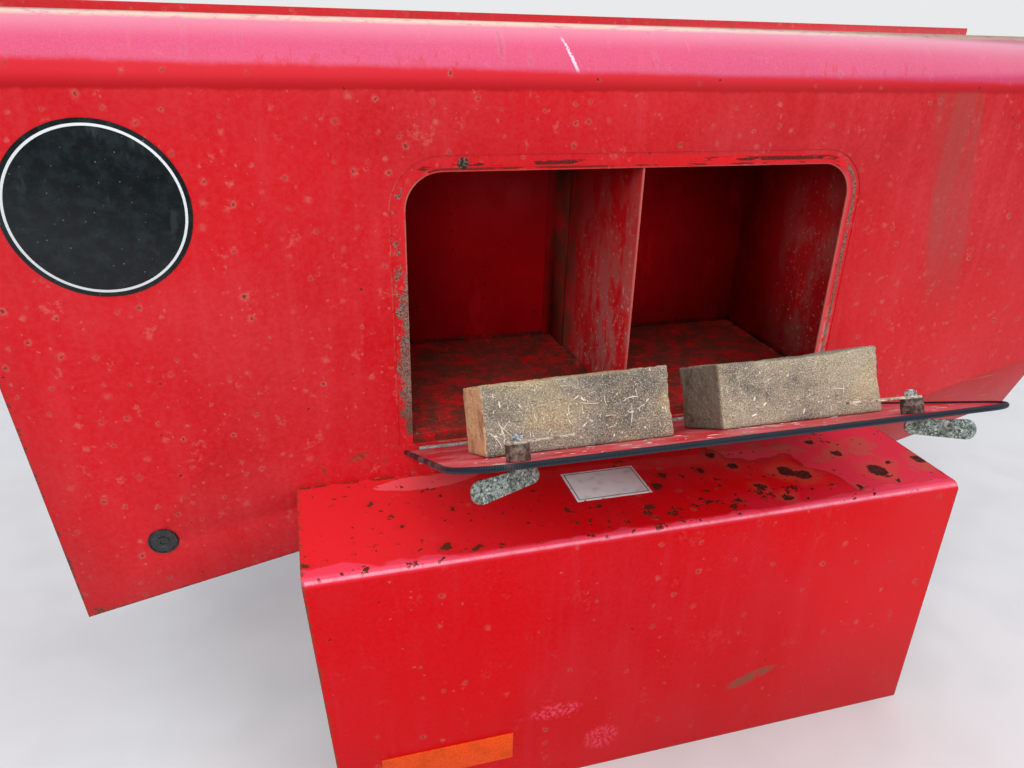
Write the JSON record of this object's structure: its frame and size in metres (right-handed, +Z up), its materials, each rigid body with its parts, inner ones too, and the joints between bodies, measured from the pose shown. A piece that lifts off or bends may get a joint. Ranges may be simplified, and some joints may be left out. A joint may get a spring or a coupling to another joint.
{
  "type": "side twine box of a square baler, with fold-down door and lower guard",
  "caption": "Pressed steel side box of a square baler: two lined compartments behind a fold-down padded door with turn latches, above a tapered lower guard.",
  "frame": {"origin": "centre of the four bolt holes in the rear rails, on the rear bolting plane", "axes": "+X along the outer face to the right as seen from outside, +Y inwards to the machine, +Z up; the outer face looks towards -Y"},
  "size_m": [1.77, 0.7999, 1.078],
  "materials": {
    "red_paint": "gloss, weathered, with rust specks",
    "faded_red": "dull, dusty",
    "zinc": "galvanised, spangled",
    "dark_steel": "weathered",
    "rubber": "ribbed, dusty",
    "foam": "dirty open foam",
    "disc_black": "satin",
    "plate_white": "matt",
    "reflector_orange": "gloss"
  },
  "bodies": {
    "hood": {"hood_shell": "red_paint", "lower_lip": "red_paint", "bevel_panel": "red_paint", "end_panel_left": "red_paint", "end_panel_right": "red_paint", "liner_floor": "faded_red", "liner_back": "faded_red", "liner_wall_left": "faded_red", "liner_wall_right": "faded_red", "divider": "faded_red", "divider_angle": "faded_red", "rail_left": "red_paint", "rail_right": "red_paint", "sill_strip": "red_paint", "hinge_fixed": "zinc", "hinge_pin": "zinc", "rim_screw": "dark_steel", "marker_disc": "disc_black", "plug": "rubber", "guard_shell": "red_paint", "guard_end_left": "red_paint", "guard_end_right": "red_paint", "guard_bolts": "zinc", "reflector": "reflector_orange", "blank_plate": "plate_white"},
    "door": {"door_panel": "red_paint", "door_trim": "rubber", "hinge_moving": "zinc", "stop_lugs": "red_paint", "foam_left": "foam", "foam_right": "foam"},
    "latch_left": {"latch_left_bolt": "zinc", "latch_left_spacer": "dark_steel", "latch_left_tongue": "zinc", "latch_left_wing": "zinc"},
    "latch_right": {"latch_right_bolt": "zinc", "latch_right_spacer": "dark_steel", "latch_right_tongue": "zinc", "latch_right_wing": "zinc"}
  },
  "joints": [
    {"name": "door_hinge", "type": "hinge", "parent": "hood", "child": "door", "pos_m": [0, -0.429, -0.266], "axis": [-1, 0, 0], "range_deg": [0, 64]},
    {"name": "latch_left_turn", "type": "hinge", "parent": "door", "child": "latch_left", "pos_m": [-0.2755, -0.75796, -0.10556], "axis": [0, -0.4384, -0.8988], "range_deg": [0, 108]},
    {"name": "latch_right_turn", "type": "hinge", "parent": "door", "child": "latch_right", "pos_m": [0.2175, -0.75796, -0.10556], "axis": [0, 0.4384, 0.8988], "range_deg": [0, 108]}
  ]
}
